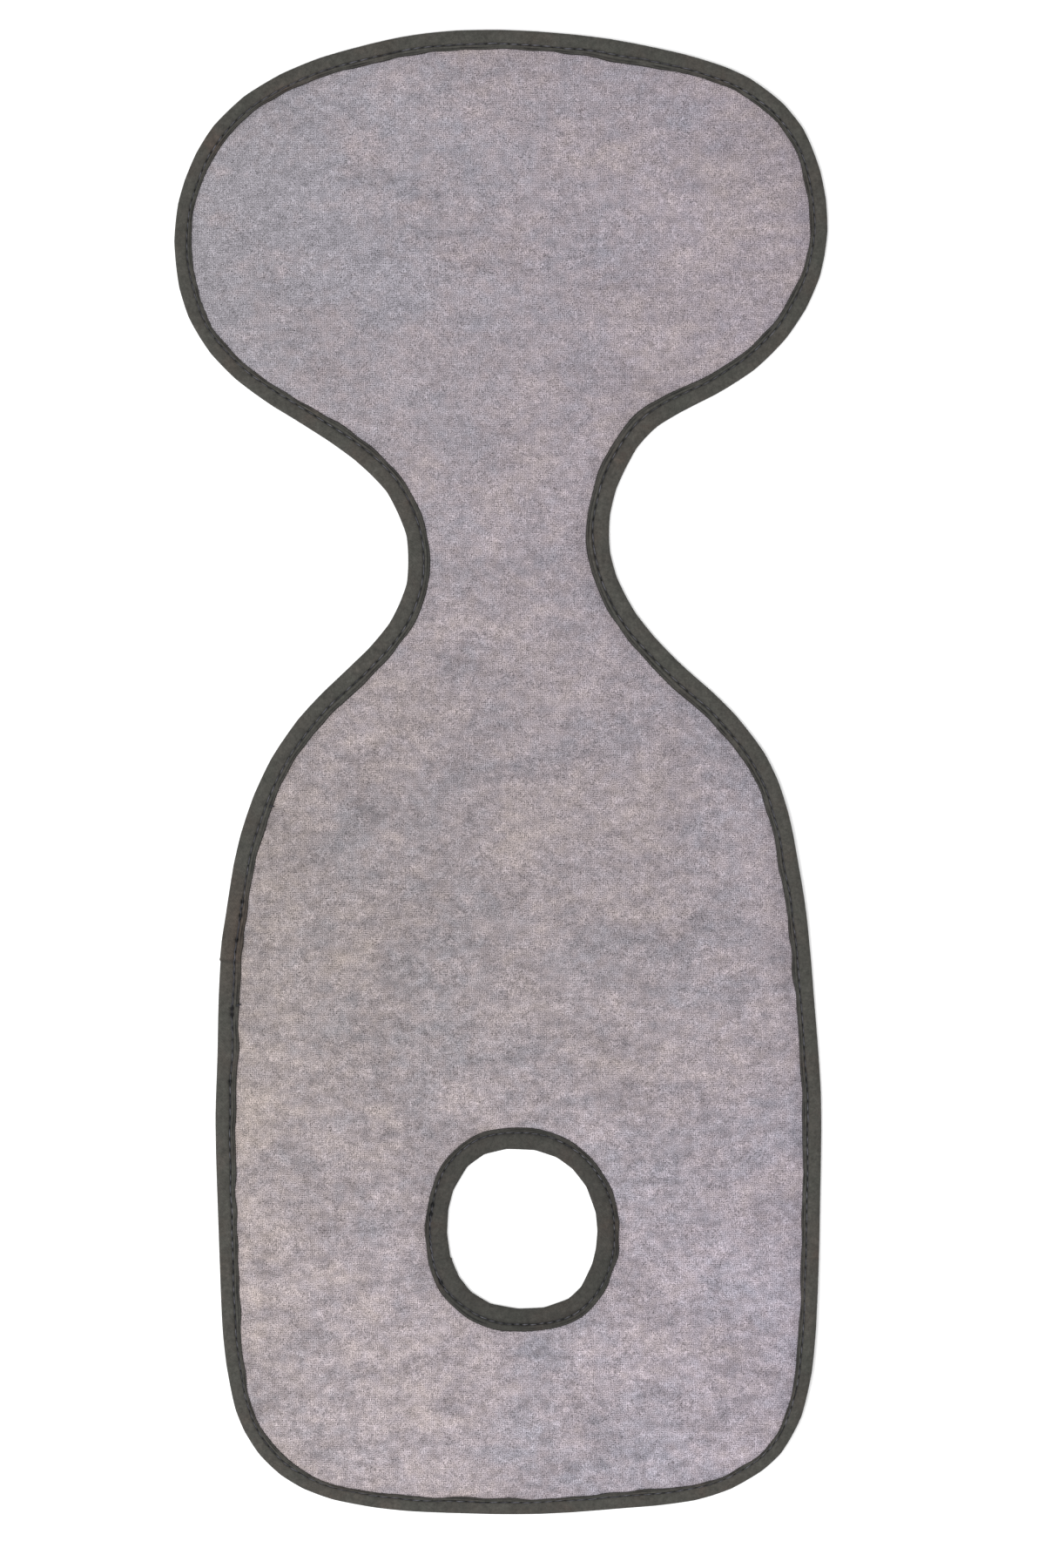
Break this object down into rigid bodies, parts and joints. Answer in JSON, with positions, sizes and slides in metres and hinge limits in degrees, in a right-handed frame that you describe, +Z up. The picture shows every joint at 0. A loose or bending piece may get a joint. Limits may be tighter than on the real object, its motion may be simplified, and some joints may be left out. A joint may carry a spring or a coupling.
{
  "type": "seat liner",
  "caption": "Flat padded textile liner with a wide head part, a narrow neck between two shoulder-strap bays, a wide body, a bound edge and a bound strap hole.",
  "frame": {"origin": "middle of the outline's box, on the underside of the pad", "axes": "+Z up through the thickness, out of the face fabric; +Y along the length, towards the head end; +X to the right of someone who looks down on the face"},
  "size_m": [0.3306, 0.7501, 0.006],
  "materials": {
    "face_terry": "heathered grey-mauve cotton terry, matt, short pile",
    "wadding": "white polyester fibre wadding, matt",
    "backing": "grey plain-woven cotton, matt",
    "binding_tape": "dark grey fine ribbed tape, slight sheen",
    "sewing_thread": "slate grey twisted polyester thread, slight sheen"
  },
  "bodies": {
    "root": {"face_fabric": "face_terry", "wadding": "wadding", "backing_fabric": "backing", "outer_binding": "binding_tape", "hole_binding": "binding_tape", "outer_needle_thread": "sewing_thread", "outer_bobbin_thread": "sewing_thread", "hole_needle_thread": "sewing_thread", "hole_bobbin_thread": "sewing_thread"}
  },
  "joints": []
}
